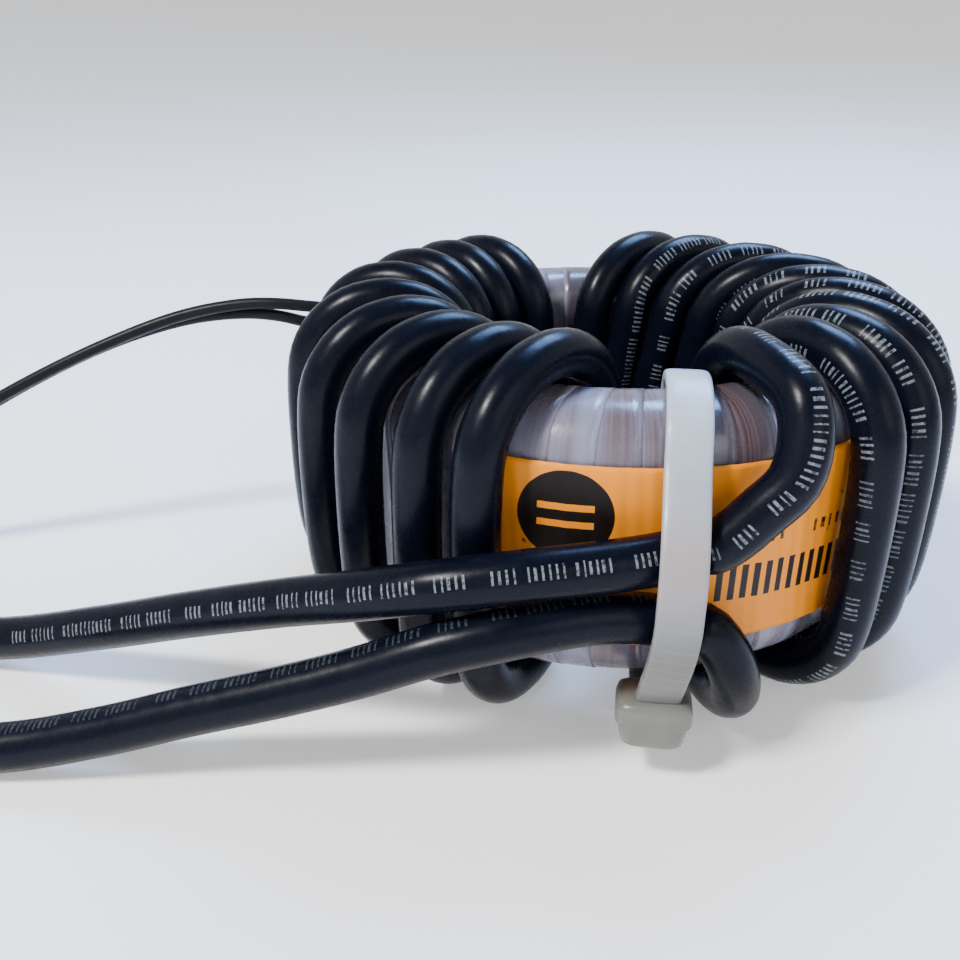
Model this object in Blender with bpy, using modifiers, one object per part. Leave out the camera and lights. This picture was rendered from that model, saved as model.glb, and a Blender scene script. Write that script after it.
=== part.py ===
"""Toroidal inductor: a taped ring core carrying a fine inner winding and a heavy outer winding.

Units are metres, +Z is up, and the part stands on Z = 0 on the bottoms of its heavy turns.
The ring's axis is vertical. Azimuths are in degrees from the front (-Y), positive towards +X.
A place on the ring is written (radius from the axis, azimuth, height above the ring's middle).
"""
import math

import bmesh
import bpy
import numpy as np

MM = 0.001
COLLECTION = "toroidal_inductor"
CUTTERS = "cutters"

# The ring with its tape on: outer and inner radius, height, and the radii of its rounded edges.
TAPED_OUTER = 28.0 * MM
TAPED_INNER = 18.2 * MM
TAPED_HEIGHT = 25.2 * MM
OUTER_EDGE = 4.8 * MM
INNER_EDGE = 3.6 * MM

# Layers under the tape, from the outside in.
TAPE = 0.4 * MM
WINDING_GAP = 0.2 * MM
INNER_WINDING = 1.2 * MM
GAP = 0.3 * MM
RING_STEPS = 48
EDGE_STATIONS = 4

# The heavy wire: 12 AWG stranded copper in PVC, and how its turns stand off the ring.
WIRE = 4.15 * MM
OUTER_STANDOFF = 2.9 * MM
INNER_STANDOFF = 3.0 * MM
TOP_STANDOFF = 2.7 * MM
OUTER_BEND = 8.0 * MM
INNER_BEND = 7.2 * MM
BEND_STATIONS = 5
CURVE_SAMPLES = 12

# Where the ring's axis stands in the part's frame, so that the origin is under the middle of the whole.
# The corners of the faceted wire reach a little lower than its round section would.
AXIS = np.array([0.07, 1.59]) * MM
CORNER_REACH = 0.032 * MM
MIDDLE_HEIGHT = TAPED_HEIGHT / 2 + TOP_STANDOFF + WIRE / 2 + CORNER_REACH

LOOP_INNER = TAPED_INNER - INNER_STANDOFF
LOOP_OUTER = TAPED_OUTER + OUTER_STANDOFF
LOOP_HALF = TAPED_HEIGHT / 2 + TOP_STANDOFF

# Azimuths of the turns. The left turns are counted from the front window back, the right ones too.
LEFT_TURNS = 9
RIGHT_TURNS = 10
LEFT_BORE_FIRST = -2.0
LEFT_BORE_STEP = -17.9
RIGHT_BORE_FIRST = 36.0
RIGHT_BORE_STEP = 17.0
LEFT_BORE_SLANT = 7.0
RIGHT_BORE_SLANT = 9.0
LEFT_OUTSIDE = [-18.0, -28.5, -42.0, -57.0, -75.0, -95.0, -113.0, -126.0, -135.0]
RIGHT_OUTSIDE = [28.0, 45.0, 57.0, 70.0, 84.0, 98.0, 113.0, 130.5, 149.0, 163.0]

# The heavy wire's two free runs on the ring, as (radius, azimuth, height) in millimetres and degrees.
# The first goes from the tie under the ring and up the bore, the last from the top back to the tie.
START_RUN = [
    (30.9, 14.45, -4.0), (30.9, 16.8, -4.35), (31.1, 19.6, -6.1), (31.2, 21.8, -8.4), (30.0, 24.2, -11.8),
    (27.2, 26.0, -14.4), (23.5, 27.3, -15.4), (19.4, 28.0, -15.1), (16.0, 28.0, -12.6), (14.2, 27.5, -8.6),
    (13.2, 21.0, -3.0), (13.2, 9.0, 2.5),
]
END_RUN = [
    (29.2, 29.4, 14.2), (31.2, 28.4, 11.4), (31.9, 26.4, 8.5), (31.5, 22.6, 6.1), (31.2, 19.6, 4.3),
    (30.9, 16.8, 3.05), (30.9, 14.45, 2.85),
]

# The free leads, as X, Y, Z in millimetres from the ring's middle, from the tie to their tips.
UPPER_LEAD_ROUTE = [
    (7.4, -30.0, 2.8), (4.0, -31.0, 2.3), (0.0, -32.2, 2.0), (-4.2, -33.4, 1.8), (-7.9, -34.1, 1.4),
    (-12.2, -34.3, 0.6), (-18.3, -33.2, -1.4), (-25.9, -31.2, -4.1), (-35.1, -29.2, -7.4),
    (-45.1, -27.5, -10.9), (-57.0, -26.0, -14.3), (-70.0, -25.6, -15.2), (-88.0, -26.6, -15.2),
    (-106.0, -28.6, -15.2),
]
LOWER_LEAD_ROUTE = [
    (7.4, -30.0, -3.9), (4.0, -31.0, -2.9), (0.0, -32.3, -2.5), (-3.4, -33.6, -2.6), (-7.4, -34.9, -3.1),
    (-11.9, -35.7, -4.2), (-17.9, -36.2, -6.6), (-24.5, -36.8, -8.8), (-32.0, -37.5, -11.0),
    (-39.6, -38.5, -13.2), (-48.2, -39.7, -14.9), (-62.0, -41.4, -15.2), (-82.0, -43.2, -15.2),
    (-102.0, -44.0, -15.2),
]
FINE_LEAD_A_ROUTE = [
    (-26.2, 5.3, 2.3), (-26.2, 5.3, 4.4), (-26.7, 5.5, 6.8), (-28.1, 6.0, 8.8), (-30.1, 6.2, 10.2),
    (-32.2, 5.9, 10.9), (-34.4, 5.4, 11.2), (-37.4, 4.8, 11.5), (-41.3, 4.2, 11.4), (-47.9, 2.8, 10.2),
    (-56.6, 0.0, 7.1), (-67.3, -3.9, 2.0), (-78.0, -8.0, -4.4), (-88.0, -11.9, -11.0),
    (-97.0, -15.2, -15.4), (-107.0, -18.6, -16.6), (-118.0, -21.6, -16.65),
]
FINE_LEAD_B_ROUTE = [
    (-25.6, 7.7, 2.3), (-25.6, 7.7, 4.2), (-26.1, 7.8, 5.8), (-27.5, 7.9, 7.1), (-29.6, 7.9, 8.0),
    (-32.0, 7.0, 8.7), (-34.2, 5.9, 9.2), (-37.4, 5.2, 10.0), (-41.3, 4.9, 10.2), (-47.9, 4.1, 9.4),
    (-56.9, 1.5, 6.7), (-67.8, -2.5, 1.5), (-78.5, -6.5, -5.1), (-88.5, -10.3, -11.8),
    (-97.5, -13.2, -16.0), (-107.5, -16.6, -16.65), (-118.5, -19.4, -16.65),
]
LEAD_POINT_STEP = 5.5 * MM
FINE_POINT_STEP = 3.0 * MM
FINE_LEAD = 1.3 * MM

# Stripped and tinned ends of the leads.
HEAVY_CONDUCTOR = 2.4 * MM
HEAVY_STRIP = 8.0 * MM
FINE_CONDUCTOR = 0.6 * MM
FINE_STRIP = 5.0 * MM

# Splices of the inner winding to its two fine leads, in the winding's own gap under the tape.
SPLICE = 1.1 * MM
SPLICE_RADIUS = 26.75 * MM
SPLICE_AZIMUTHS = [-101.4, -106.8]
SPLICE_BOTTOM = -6.0 * MM
SPLICE_TOP = 2.0 * MM
WINDING_GAP_AZIMUTH = -104.0
WINDING_GAP_WIDTH = 7.5 * MM
EXIT_SLOT_WIDTH = 5.6 * MM
EXIT_SLOT_BOTTOM = 4.6 * MM
EXIT_SLOT_TOP = 10.2 * MM

# The printed label on the front of the ring.
LABEL = 0.15 * MM
LABEL_START = -16.5
LABEL_END = 61.0
LABEL_BOTTOM = -7.4 * MM
LABEL_TOP = 8.7 * MM
LABEL_STEPS = 22

# The cable tie: a loop round the ring's section and both heavy leads, upright but leaning sideways a
# little from its head to the height of the leads.
TIE_X = 5.3 * MM
TIE_LEAN = 1.1 * MM
TIE_LEAN_FOOT = -13.0 * MM
TIE_LEAN_RISE = 12.0 * MM
TIE_WIDTH = 3.6 * MM
TIE_THICKNESS = 1.1 * MM
TIE_STEP = 1.0 * MM
TIE_HEAD = np.array([6.2, 4.6, 4.6]) * MM
TIE_HEAD_MIDDLE = np.array([-31.5, -11.9]) * MM
TIE_HEAD_EDGE = 0.7 * MM
TIE_TAIL = 0.3 * MM
# Its middle line as (Y, Z) in millimetres from the ring's middle.
TIE_ROUTE = [
    (-15.35, 0.0), (-15.35, 5.0), (-15.5, 9.0), (-17.2, 12.3), (-21.0, 13.6), (-24.3, 13.3), (-27.0, 11.7),
    (-28.9, 8.9), (-32.0, 5.8), (-33.9, 2.8), (-34.2, -0.6), (-34.0, -4.2), (-33.2, -7.2), (-32.1, -10.0),
    (-30.7, -12.2), (-28.2, -13.4), (-24.6, -13.8), (-21.0, -13.6), (-17.2, -12.3), (-15.5, -9.0),
    (-15.35, -5.0),
]


def smooth_step(t):
    """The cubic 3t^2 - 2t^3, which eases from 0 to 1."""
    t = np.clip(t, 0.0, 1.0)
    return t * t * (3.0 - 2.0 * t)


def arc(centre_r, centre_z, radius, start, end, count):
    """Stations along an arc in the (radius, height) plane."""
    angles = np.radians(np.linspace(start, end, count))
    return np.stack([centre_r + radius * np.cos(angles), centre_z + radius * np.sin(angles)], axis=1)


def over_top():
    """Half a turn in the (radius, height) plane: out of the bore, over the top and to the outside."""
    inner = arc(LOOP_INNER + INNER_BEND, LOOP_HALF - INNER_BEND, INNER_BEND, 180, 90, BEND_STATIONS)
    outer = arc(LOOP_OUTER - OUTER_BEND, LOOP_HALF - OUTER_BEND, OUTER_BEND, 90, 0, BEND_STATIONS)
    return np.concatenate([inner, outer])


def under_bottom():
    """The other half: from the outside, under the ring and into the bore."""
    return over_top()[::-1] * [1.0, -1.0]


def half_turn(section, start, end):
    """A half turn that runs straight in plan from one azimuth at its start to another at its end."""
    first, last = section[0, 0], section[-1, 0]
    share = (section[:, 0] - first) / (last - first)
    angle = math.radians(end - start)
    forward = (1.0 - share) * first + share * last * math.cos(angle)
    sideways = share * last * math.sin(angle)
    azimuth = start + np.degrees(np.arctan2(sideways, forward))
    return np.stack([np.hypot(forward, sideways), azimuth, section[:, 1]], axis=1)


def turn_table():
    """(azimuth at the bore's bottom, at its top, on the outside) of every turn, in winding order."""
    table = []
    for index in range(LEFT_TURNS):
        top = LEFT_BORE_FIRST + LEFT_BORE_STEP * index
        table.append((top + LEFT_BORE_SLANT, top, LEFT_OUTSIDE[index]))
    for index in reversed(range(RIGHT_TURNS)):
        top = RIGHT_BORE_FIRST + RIGHT_BORE_STEP * index - 360.0
        table.append((top + RIGHT_BORE_SLANT, top, RIGHT_OUTSIDE[index] - 360.0))
    return table


def heavy_route():
    """The heavy wire's route round the ring, as (radius, azimuth, height), from tie to tie."""
    table = turn_table()
    to_metres = np.array([MM, 1.0, MM])
    route = [np.array(START_RUN) * to_metres]
    for index, (_, top, outside) in enumerate(table[:-1]):
        next_bottom = table[index + 1][0]
        route.append(half_turn(over_top(), top, outside))
        route.append(half_turn(under_bottom(), outside, next_bottom))
    last_top, last_outside = table[-1][1:]
    last_turn = half_turn(over_top(), last_top, last_outside)
    route.append(last_turn[:BEND_STATIONS + 1])
    end = np.array(END_RUN) * to_metres
    end[:, 1] -= 360.0
    route.append(end)
    return np.concatenate(route)


def to_ring_frame(route):
    """(radius, azimuth, height) to X, Y, Z about the ring's middle."""
    angle = np.radians(route[:, 1])
    return np.stack([route[:, 0] * np.sin(angle), -route[:, 0] * np.cos(angle), route[:, 2]], axis=1)


def smooth_curve(points, step):
    """A centripetal Catmull-Rom curve through the points, read off at even steps."""
    points = np.asarray(points, dtype=float)
    ends = [2 * points[0] - points[1], 2 * points[-1] - points[-2]]
    padded = np.concatenate([ends[:1], points, ends[1:]])
    samples = []
    for p0, p1, p2, p3 in zip(padded[:-3], padded[1:-2], padded[2:-1], padded[3:]):
        t1 = math.sqrt(np.linalg.norm(p1 - p0))
        t2 = t1 + math.sqrt(np.linalg.norm(p2 - p1))
        t3 = t2 + math.sqrt(np.linalg.norm(p3 - p2))
        for t in np.linspace(t1, t2, CURVE_SAMPLES, endpoint=False):
            a1 = (t1 - t) / t1 * p0 + t / t1 * p1
            a2 = (t2 - t) / (t2 - t1) * p1 + (t - t1) / (t2 - t1) * p2
            a3 = (t3 - t) / (t3 - t2) * p2 + (t - t2) / (t3 - t2) * p3
            b1 = (t2 - t) / t2 * a1 + t / t2 * a2
            b2 = (t3 - t) / (t3 - t1) * a2 + (t - t1) / (t3 - t1) * a3
            samples.append((t2 - t) / (t2 - t1) * b1 + (t - t1) / (t2 - t1) * b2)
    samples.append(points[-1])
    samples = np.array(samples)
    lengths = np.concatenate([[0.0], np.cumsum(np.linalg.norm(np.diff(samples, axis=0), axis=1))])
    count = max(2, round(lengths[-1] / step) + 1)
    even = np.linspace(0.0, lengths[-1], count)
    return np.stack([np.interp(even, lengths, column) for column in samples.T], axis=1)


def tie_loop():
    """The tie's middle line as a closed smooth loop of (Y, Z) places, without its repeated first point."""
    route = np.array(TIE_ROUTE) * MM
    wrapped = np.concatenate([route[-2:], route, route[:3]])
    curve = smooth_curve(wrapped, TIE_STEP)
    first = np.argmin(np.linalg.norm(curve[:len(curve) // 3] - route[0], axis=1))
    last = len(curve) // 2 + np.argmin(np.linalg.norm(curve[len(curve) // 2:] - route[0], axis=1))
    return curve[first:last]


def tie_lean(height):
    """How far sideways the tie stands at a height."""
    return TIE_LEAN * smooth_step((height - TIE_LEAN_FOOT) / TIE_LEAN_RISE)


def empty_scene():
    """Remove whatever the scene holds."""
    for thing in list(bpy.data.objects):
        bpy.data.objects.remove(thing, do_unlink=True)


def new_collection(name):
    """A collection of that name in the scene."""
    collection = bpy.data.collections.new(name)
    bpy.context.scene.collection.children.link(collection)
    return collection


def principled(name, colour, roughness, metallic=0.0):
    """A Principled material."""
    material = bpy.data.materials.new(name)
    material.use_nodes = True
    shader = material.node_tree.nodes["Principled BSDF"]
    shader.inputs["Base Color"].default_value = (*colour, 1.0)
    shader.inputs["Roughness"].default_value = roughness
    shader.inputs["Metallic"].default_value = metallic
    return material


def place(name, data, collection, material=None, at=(0.0, 0.0, 0.0)):
    """A new object with its origin at a place given from the ring's middle."""
    thing = bpy.data.objects.new(name, data)
    thing.location = (AXIS[0] + at[0], AXIS[1] + at[1], MIDDLE_HEIGHT + at[2])
    if material is not None:
        data.materials.append(material)
    collection.objects.link(thing)
    return thing


def tube(name, points, diameter, material):
    """A round wire along the points, with flat ends."""
    curve = bpy.data.curves.new(name, "CURVE")
    curve.dimensions = "3D"
    curve.bevel_depth = diameter / 2
    curve.bevel_resolution = 2
    curve.use_fill_caps = True
    spline = curve.splines.new("POLY")
    spline.points.add(len(points) - 1)
    for point, place_on_route in zip(spline.points, points):
        point.co = (*place_on_route, 1.0)
    spline.use_smooth = True
    return place(name, curve, parts, material)


def lead_with_end(name, route, diameter, step, conductor, strip, insulation, metal):
    """A free lead along its route, and its stripped and tinned end beyond it."""
    points = smooth_curve(np.array(route) * MM, step)
    tube(name, points, diameter, insulation)
    direction = points[-1] - points[-2]
    direction /= np.linalg.norm(direction)
    start = points[-1] + direction * GAP
    tube(name + "_tinned_end", np.stack([start, start + direction * strip]), conductor, metal)


def ring_section(depth):
    """The ring's rounded section as (radius, height), set in by a depth, clockwise from the top outside."""
    outer = TAPED_OUTER - OUTER_EDGE
    inner = TAPED_INNER + INNER_EDGE
    outer_height = TAPED_HEIGHT / 2 - OUTER_EDGE
    inner_height = TAPED_HEIGHT / 2 - INNER_EDGE
    corners = [
        arc(outer, outer_height, OUTER_EDGE - depth, 90, 0, EDGE_STATIONS),
        arc(outer, -outer_height, OUTER_EDGE - depth, 0, -90, EDGE_STATIONS),
        arc(inner, -inner_height, INNER_EDGE - depth, -90, -180, EDGE_STATIONS),
        arc(inner, inner_height, INNER_EDGE - depth, 180, 90, EDGE_STATIONS),
    ]
    return np.concatenate(corners)


def turned(name, section, closed, collection, material=None, start=0.0, sweep=360.0, steps=RING_STEPS):
    """A profile in (radius, height) swept about the ring's axis from one azimuth through an angle."""
    count = len(section)
    edges = [(index, index + 1) for index in range(count - 1)]
    if closed:
        edges.append((count - 1, 0))
    mesh = bpy.data.meshes.new(name)
    mesh.from_pydata([(radius, 0.0, height) for radius, height in section], edges, [])
    thing = place(name, mesh, collection, material)
    thing.rotation_euler.z = math.radians(start - 90.0)
    screw = thing.modifiers.new("Sweep", "SCREW")
    screw.angle = math.radians(sweep)
    screw.steps = steps
    screw.render_steps = steps
    screw.use_merge_vertices = sweep == 360.0
    screw.merge_threshold = 0.0001
    screw.use_smooth_shade = True
    return thing


def block(name, size, at, collection, turn=0.0):
    """A box of a size about a place from the ring's middle, turned about the vertical."""
    bpy.ops.mesh.primitive_cube_add(size=1.0)
    thing = bpy.context.object
    thing.name = name
    for owner in list(thing.users_collection):
        owner.objects.unlink(thing)
    collection.objects.link(thing)
    for vertex in thing.data.vertices:
        vertex.co = [value * length for value, length in zip(vertex.co, size)]
    thing.location = (AXIS[0] + at[0], AXIS[1] + at[1], MIDDLE_HEIGHT + at[2])
    thing.rotation_euler.z = math.radians(turn)
    return thing


def combine(thing, other, operation):
    """Join another body to this one, or cut it away."""
    modifier = thing.modifiers.new(operation.title(), "BOOLEAN")
    modifier.operation = operation
    modifier.solver = "EXACT"
    modifier.object = other
    other.hide_render = True
    other.display_type = "WIRE"


def at_azimuth(radius, azimuth, height=0.0):
    """X, Y, Z about the ring's middle of one place."""
    return to_ring_frame(np.array([[radius, azimuth, height]]))[0]


def tie_band():
    """The cable tie's loop: an outline of even thickness, extruded to the strap's width and leant over."""
    middle = tie_loop()
    along = np.roll(middle, -1, axis=0) - np.roll(middle, 1, axis=0)
    along /= np.linalg.norm(along, axis=1)[:, None]
    outward = np.stack([-along[:, 1], along[:, 0]], axis=1)
    outline = bpy.data.curves.new("tie_outline", "CURVE")
    outline.dimensions = "2D"
    outline.fill_mode = "BOTH"
    outline.extrude = TIE_WIDTH / 2
    for side in (-1.0, 1.0):
        spline = outline.splines.new("POLY")
        spline.points.add(len(middle) - 1)
        for point, (y, z) in zip(spline.points, middle + outward * side * TIE_THICKNESS / 2):
            point.co = (y, z, 0.0, 1.0)
        spline.use_cyclic_u = True
    guide = place("tie_outline", outline, cutters)
    bpy.context.view_layer.update()
    evaluated = guide.evaluated_get(bpy.context.evaluated_depsgraph_get())
    mesh = bpy.data.meshes.new_from_object(evaluated)
    bpy.data.objects.remove(guide, do_unlink=True)
    welded = bmesh.new()
    welded.from_mesh(mesh)
    bmesh.ops.remove_doubles(welded, verts=welded.verts, dist=0.00001)
    for vertex in welded.verts:
        y, z, x = vertex.co
        vertex.co = (TIE_X + x + float(tie_lean(z)), y, z)
    bmesh.ops.recalc_face_normals(welded, faces=welded.faces)
    welded.to_mesh(mesh)
    welded.free()
    return place("cable_tie", mesh, parts, nylon)


empty_scene()
parts = new_collection(COLLECTION)
cutters = new_collection(CUTTERS)

heavy_insulation = principled("heavy_insulation", (0.022, 0.026, 0.040), 0.32)
fine_insulation = principled("fine_insulation", (0.030, 0.030, 0.034), 0.45)
tinned_copper = principled("tinned_copper", (0.78, 0.77, 0.74), 0.35, 1.0)
enamelled_copper = principled("enamelled_copper", (0.45, 0.16, 0.07), 0.35, 0.8)
core_coating = principled("core_coating", (0.75, 0.62, 0.12), 0.6)
tape_film = principled("tape_film", (0.62, 0.56, 0.60), 0.3)
label_film = principled("label_film", (0.90, 0.40, 0.05), 0.4)
nylon = principled("nylon", (0.82, 0.80, 0.72), 0.4)
crimp_sleeve = principled("crimp_sleeve", (0.75, 0.74, 0.72), 0.4, 1.0)

# Core: a coated powdered-iron ring, and round it the inner winding's pack of fine turns. The pack is
# one shell over the whole section, open where the winding starts and ends.
winding_depth = TAPE + WINDING_GAP
core_depth = winding_depth + INNER_WINDING + GAP
turned("core", ring_section(core_depth), True, parts, core_coating)
winding = turned("inner_winding", ring_section(winding_depth), True, parts, enamelled_copper)
winding_inside = turned("winding_inside", ring_section(core_depth - GAP), True, cutters)
ring_middle = (TAPED_OUTER + TAPED_INNER) / 2
winding_gap = block(
    "winding_gap",
    (WINDING_GAP_WIDTH, 2 * (TAPED_OUTER - TAPED_INNER), 2 * TAPED_HEIGHT),
    at_azimuth(ring_middle, WINDING_GAP_AZIMUTH),
    cutters,
    WINDING_GAP_AZIMUTH,
)
combine(winding, winding_inside, "DIFFERENCE")
combine(winding, winding_gap, "DIFFERENCE")

# Tape: one closed wrap round the ring, with the slot where the two fine leads come out.
tape = turned("tape_wrap", ring_section(0.0), True, parts, tape_film)
tape_inside = turned("tape_inside", ring_section(TAPE), True, cutters)
exit_slot = block(
    "exit_slot",
    (EXIT_SLOT_WIDTH, TAPED_OUTER - TAPED_INNER, EXIT_SLOT_TOP - EXIT_SLOT_BOTTOM),
    at_azimuth(TAPED_OUTER, WINDING_GAP_AZIMUTH, (EXIT_SLOT_TOP + EXIT_SLOT_BOTTOM) / 2),
    cutters,
    WINDING_GAP_AZIMUTH,
)
combine(tape, tape_inside, "DIFFERENCE")
combine(tape, exit_slot, "DIFFERENCE")

# Label: a thin band on the outside of the tape.
label_edge = [(TAPED_OUTER + GAP, LABEL_TOP), (TAPED_OUTER + GAP, LABEL_BOTTOM)]
label_sweep = LABEL_END - LABEL_START
label = turned("label", label_edge, False, parts, label_film, LABEL_START, label_sweep, LABEL_STEPS)
label_sheet = label.modifiers.new("Sheet", "SOLIDIFY")
label_sheet.thickness = LABEL
label_sheet.offset = 1.0

# Heavy winding: one wire, wound with all its turns from the tie round the ring and back to the tie.
tube("heavy_winding", to_ring_frame(heavy_route()), WIRE, heavy_insulation)

# Free leads: the heavy wire's two ends beyond the tie, and the inner winding's two fine leads.
for name, route in (("lead_upper", UPPER_LEAD_ROUTE), ("lead_lower", LOWER_LEAD_ROUTE)):
    lead_with_end(name, route, WIRE, LEAD_POINT_STEP, HEAVY_CONDUCTOR, HEAVY_STRIP,
                  heavy_insulation, tinned_copper)
for name, route in (("fine_lead_a", FINE_LEAD_A_ROUTE), ("fine_lead_b", FINE_LEAD_B_ROUTE)):
    lead_with_end(name, route, FINE_LEAD, FINE_POINT_STEP, FINE_CONDUCTOR, FINE_STRIP,
                  fine_insulation, tinned_copper)

# Splice sleeves: each fine lead is crimped to an end of the inner winding under the tape.
for name, azimuth in zip(("splice_sleeve_a", "splice_sleeve_b"), SPLICE_AZIMUTHS):
    foot = at_azimuth(SPLICE_RADIUS, azimuth, SPLICE_BOTTOM)
    head = at_azimuth(SPLICE_RADIUS, azimuth, SPLICE_TOP)
    tube(name, np.stack([foot, head]), SPLICE, crimp_sleeve)

# Cable tie: the strap round the ring and both heavy leads, with its head and trimmed tail in one moulding.
tie = tie_band()
tie_head = block("tie_head", TIE_HEAD, (TIE_X, *TIE_HEAD_MIDDLE), cutters)
head_edges = tie_head.modifiers.new("Edges", "BEVEL")
head_edges.width = TIE_HEAD_EDGE
head_edges.segments = 2
tie_tail = block(
    "tie_tail",
    (TIE_WIDTH, TIE_THICKNESS, TIE_HEAD[2]),
    (TIE_X, TIE_HEAD_MIDDLE[0], TIE_HEAD_MIDDLE[1] - TIE_TAIL),
    cutters,
)
combine(tie, tie_head, "UNION")
combine(tie, tie_tail, "UNION")
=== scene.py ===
import math

import bpy
import numpy as np
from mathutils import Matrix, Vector


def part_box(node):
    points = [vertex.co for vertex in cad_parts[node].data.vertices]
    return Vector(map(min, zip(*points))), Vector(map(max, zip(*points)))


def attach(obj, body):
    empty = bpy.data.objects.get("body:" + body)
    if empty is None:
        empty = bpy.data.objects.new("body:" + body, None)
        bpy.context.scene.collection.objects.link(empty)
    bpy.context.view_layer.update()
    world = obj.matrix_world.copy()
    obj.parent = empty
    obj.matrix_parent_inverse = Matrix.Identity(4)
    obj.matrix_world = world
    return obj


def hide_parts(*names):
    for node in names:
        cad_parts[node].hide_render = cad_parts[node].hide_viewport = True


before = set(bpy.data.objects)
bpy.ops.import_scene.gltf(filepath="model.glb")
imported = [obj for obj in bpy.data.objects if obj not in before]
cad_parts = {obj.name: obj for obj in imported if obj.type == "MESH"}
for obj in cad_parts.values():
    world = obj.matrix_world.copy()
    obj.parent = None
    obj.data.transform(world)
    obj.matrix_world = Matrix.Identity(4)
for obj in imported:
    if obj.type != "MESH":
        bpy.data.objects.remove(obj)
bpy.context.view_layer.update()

MM = 0.001
ROOT = "root"


# ---------------------------------------------------------------------------------------------------
# Camera. It stands in front of the ring and a little above it, and looks down past the two leads.
# Everything below is placed from the ring's middle, which is the middle of the taped ring's box.
ring_low, ring_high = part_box("tape_wrap")
ring_middle = np.array((ring_low + ring_high) / 2)

camera_data = bpy.data.cameras.new("camera")
camera_data.sensor_width = 36.0
camera_data.lens = 35.09
camera_data.clip_start = 0.005
camera = bpy.data.objects.new("camera", camera_data)
camera.location = Vector(ring_middle + [0.0, -94.2 * MM, 38.4 * MM])
camera.rotation_euler = [math.radians(angle) for angle in (64.72, 0.0, 8.17)]
bpy.context.scene.collection.objects.link(camera)
bpy.context.scene.camera = camera


# ---------------------------------------------------------------------------------------------------
# Heavy leads. Two free ends of one stranded copper wire in near-black glossy PVC, 4.15 mm across. They
# leave the tie side by side, part, and sink to the surface. Pale print runs along the insulation.
HEAVY_WIRE = 4.15 * MM
HEAVY_STEP = 1.0 * MM
HEAVY_SIDES = 32
END_ROUNDING = 0.25 * MM
CURVE_SAMPLES = 16

UPPER_LEAD_ROUTE = [
    (0.0074, -0.0300, 0.0028), (0.0040, -0.0310, 0.0023), (0.0, -0.0322, 0.0020),
    (-0.0042, -0.0334, 0.0018), (-0.0079, -0.0341, 0.0014), (-0.0122, -0.0343, 0.0006),
    (-0.0183, -0.0332, -0.0014), (-0.0259, -0.0312, -0.0041), (-0.0351, -0.0292, -0.0074),
    (-0.0451, -0.0275, -0.0109), (-0.0570, -0.0260, -0.0143), (-0.0700, -0.0256, -0.0152),
    (-0.0880, -0.0266, -0.0152), (-0.1060, -0.0286, -0.0152),
]
LOWER_LEAD_ROUTE = [
    (0.0074, -0.0300, -0.0039), (0.0040, -0.0310, -0.0029), (0.0, -0.0323, -0.0025),
    (-0.0034, -0.0336, -0.0026), (-0.0074, -0.0349, -0.0031), (-0.0119, -0.0357, -0.0042),
    (-0.0179, -0.0362, -0.0066), (-0.0245, -0.0368, -0.0088), (-0.0320, -0.0375, -0.0110),
    (-0.0396, -0.0385, -0.0132), (-0.0482, -0.0397, -0.0149), (-0.0620, -0.0414, -0.0152),
    (-0.0820, -0.0432, -0.0152), (-0.1020, -0.0440, -0.0152),
]


def smooth_curve(points, step):
    """A centripetal Catmull-Rom curve through the points, read off at even steps along its length."""
    points = np.asarray(points, dtype=float)
    padded = np.concatenate([[2 * points[0] - points[1]], points, [2 * points[-1] - points[-2]]])
    knots = np.concatenate([[0.0], np.cumsum(np.sqrt(np.linalg.norm(np.diff(padded, axis=0), axis=1)))])
    share = np.linspace(0.0, 1.0, CURVE_SAMPLES, endpoint=False)
    t = (knots[1:-2, None] + (knots[2:-1] - knots[1:-2])[:, None] * share)[..., None]
    t0, t1, t2, t3 = (knots[k:len(knots) - 3 + k, None, None] for k in range(4))
    p0, p1, p2, p3 = (padded[k:len(padded) - 3 + k, None, :] for k in range(4))
    a1 = ((t1 - t) * p0 + (t - t0) * p1) / (t1 - t0)
    a2 = ((t2 - t) * p1 + (t - t1) * p2) / (t2 - t1)
    a3 = ((t3 - t) * p2 + (t - t2) * p3) / (t3 - t2)
    b1 = ((t2 - t) * a1 + (t - t0) * a2) / (t2 - t0)
    b2 = ((t3 - t) * a2 + (t - t1) * a3) / (t3 - t1)
    samples = (((t2 - t) * b1 + (t - t1) * b2) / (t2 - t1)).reshape(-1, points.shape[1])
    samples = np.concatenate([samples, points[-1:]])
    along = length_along(samples)
    even = np.linspace(0.0, along[-1], max(2, round(along[-1] / step) + 1))
    return np.stack([np.interp(even, along, column) for column in samples.T], axis=1)


def length_along(path):
    """The length from the path's start to each of its points."""
    return np.concatenate([[0.0], np.cumsum(np.linalg.norm(np.diff(path, axis=0), axis=1))])


def unit(vectors):
    """Each vector over its own length."""
    return vectors / np.linalg.norm(vectors, axis=-1, keepdims=True)


def carry(path, outward, across, beside, closed=False):
    """A profile carried along a path. The frame at each point is the tangent T, the normal N, which is
    the outward direction less its part along T, and the side B = T x N; the surface point is
    P + across N + beside B, with both distances given for each point and place round the profile."""
    if closed:
        tangent = unit(np.roll(path, -1, axis=0) - np.roll(path, 1, axis=0))
    else:
        tangent = unit(np.gradient(path, axis=0))
    normal = unit(outward - np.sum(outward * tangent, axis=1, keepdims=True) * tangent)
    side = np.cross(tangent, normal)
    return path[:, None] + across[..., None] * normal[:, None] + beside[..., None] * side[:, None]


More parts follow.
